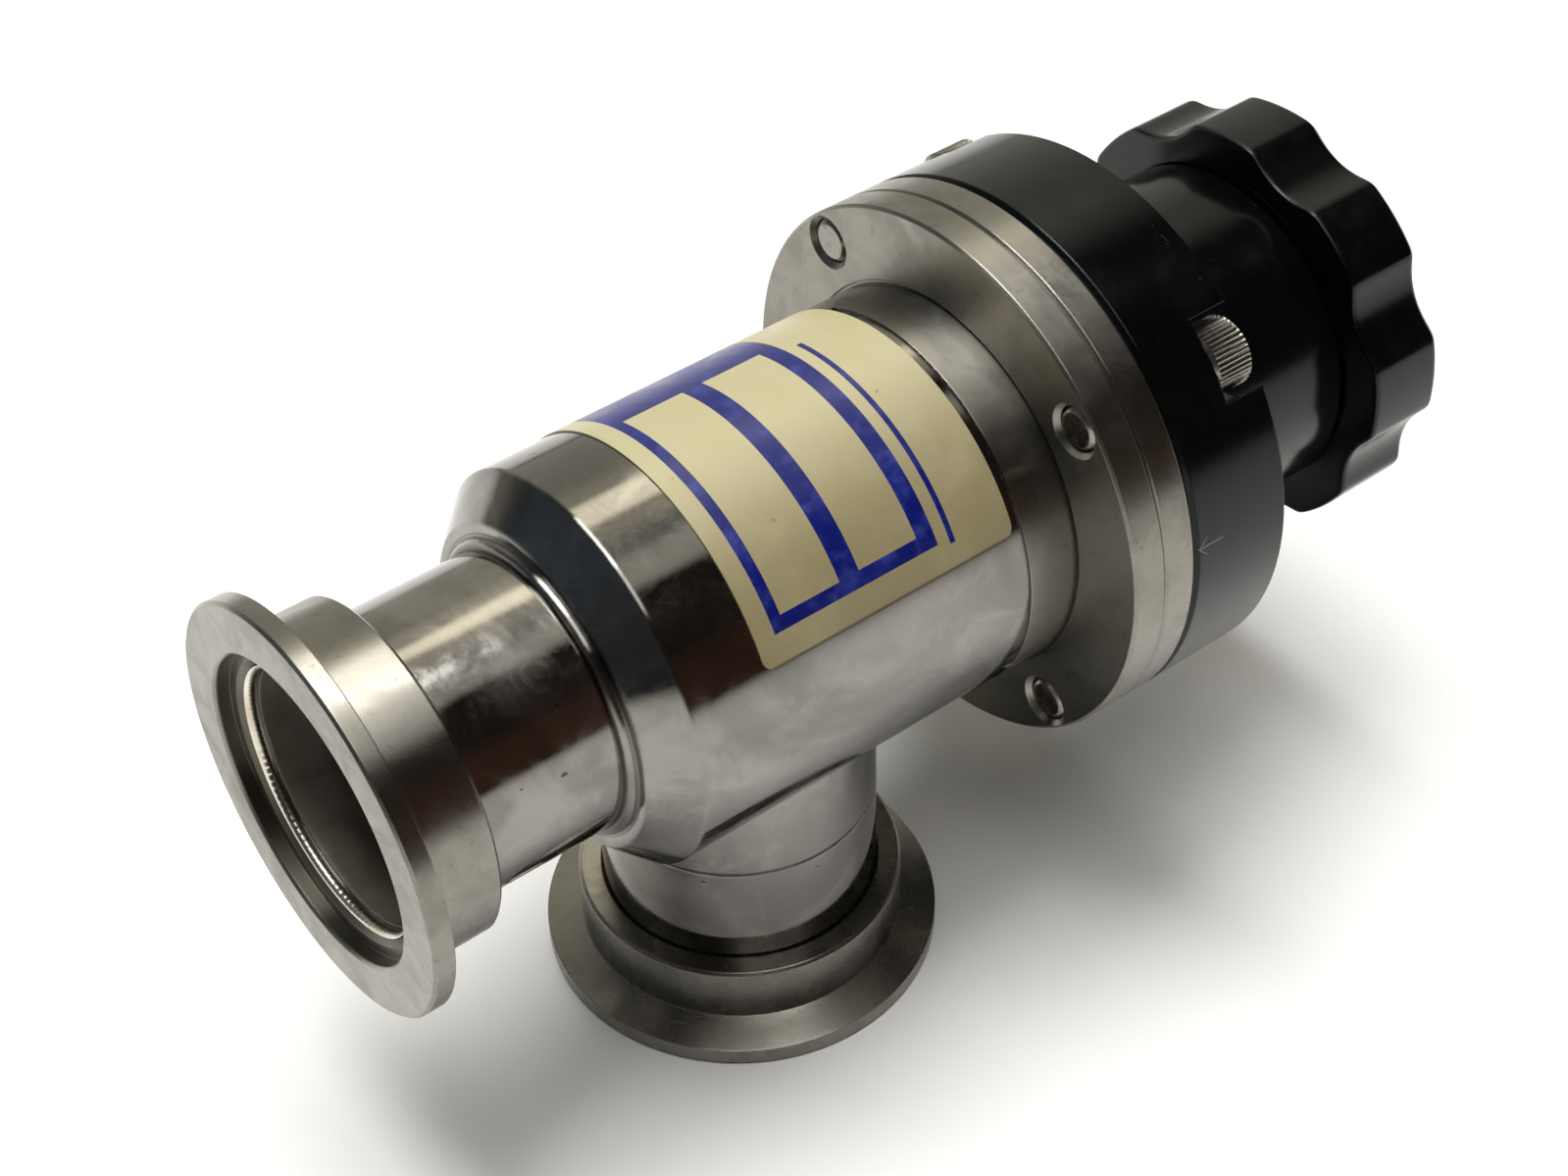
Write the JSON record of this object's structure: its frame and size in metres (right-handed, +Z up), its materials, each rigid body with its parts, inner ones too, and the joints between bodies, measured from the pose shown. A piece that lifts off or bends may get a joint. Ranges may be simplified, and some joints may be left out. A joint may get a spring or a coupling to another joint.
{
  "type": "vacuum angle valve",
  "caption": "Hand-operated right-angle vacuum valve with clamp flanges, a bellows-sealed poppet, a bolted bonnet and a fluted knob.",
  "frame": {"origin": "centre of the outlet flange's face, which the valve stands on", "axes": "+X along the main axis from the inlet towards the knob, +Z up from the outlet face to the main axis, +Y completes the right-handed set"},
  "size_m": [0.1627, 0.0762, 0.1008],
  "materials": {
    "turned_steel": "satin",
    "screw_steel": "satin",
    "bellows_steel": "satin",
    "black_steel": "satin",
    "black_aluminium": "satin",
    "black_plastic": "satin",
    "bearing_bronze": "satin",
    "seal_rubber": "matte",
    "label_paper": "satin"
  },
  "bodies": {
    "valve": {"inlet_flange": "turned_steel", "inlet_tube": "turned_steel", "outlet_flange": "turned_steel", "outlet_tube": "turned_steel", "valve_body": "turned_steel", "label": "label_paper", "body_flange": "turned_steel", "bonnet_seal": "seal_rubber", "bonnet_plate": "turned_steel", "stem_bush": "bearing_bronze", "bonnet_housing": "black_aluminium", "cap_screws": "screw_steel", "front_thrust_washer": "bearing_bronze", "rear_thrust_washer": "bearing_bronze", "retaining_ring": "black_steel"},
    "hand_knob": {"drive_spindle": "screw_steel", "knob": "black_plastic", "knob_washer": "screw_steel", "knob_screw": "screw_steel"},
    "closing_poppet": {"poppet": "turned_steel", "poppet_seal": "seal_rubber", "stem": "turned_steel", "drive_nut": "bearing_bronze", "guide_pin": "screw_steel", "bellows": "bellows_steel"}
  },
  "joints": [
    {"name": "knob_turn", "type": "hinge", "parent": "valve", "child": "hand_knob", "pos_m": [0, 0, 0.0627], "axis": [1, 0, 0], "range_deg": [0, 1620]},
    {"name": "poppet_lift", "type": "slide", "parent": "valve", "child": "closing_poppet", "axis": [1, 0, 0], "range_m": [0, 0.018], "deforming": ["bellows"]}
  ],
  "couplings": [
    {"joint": "knob_turn", "follows": "poppet_lift", "rad_per_m": 1570.8}
  ]
}
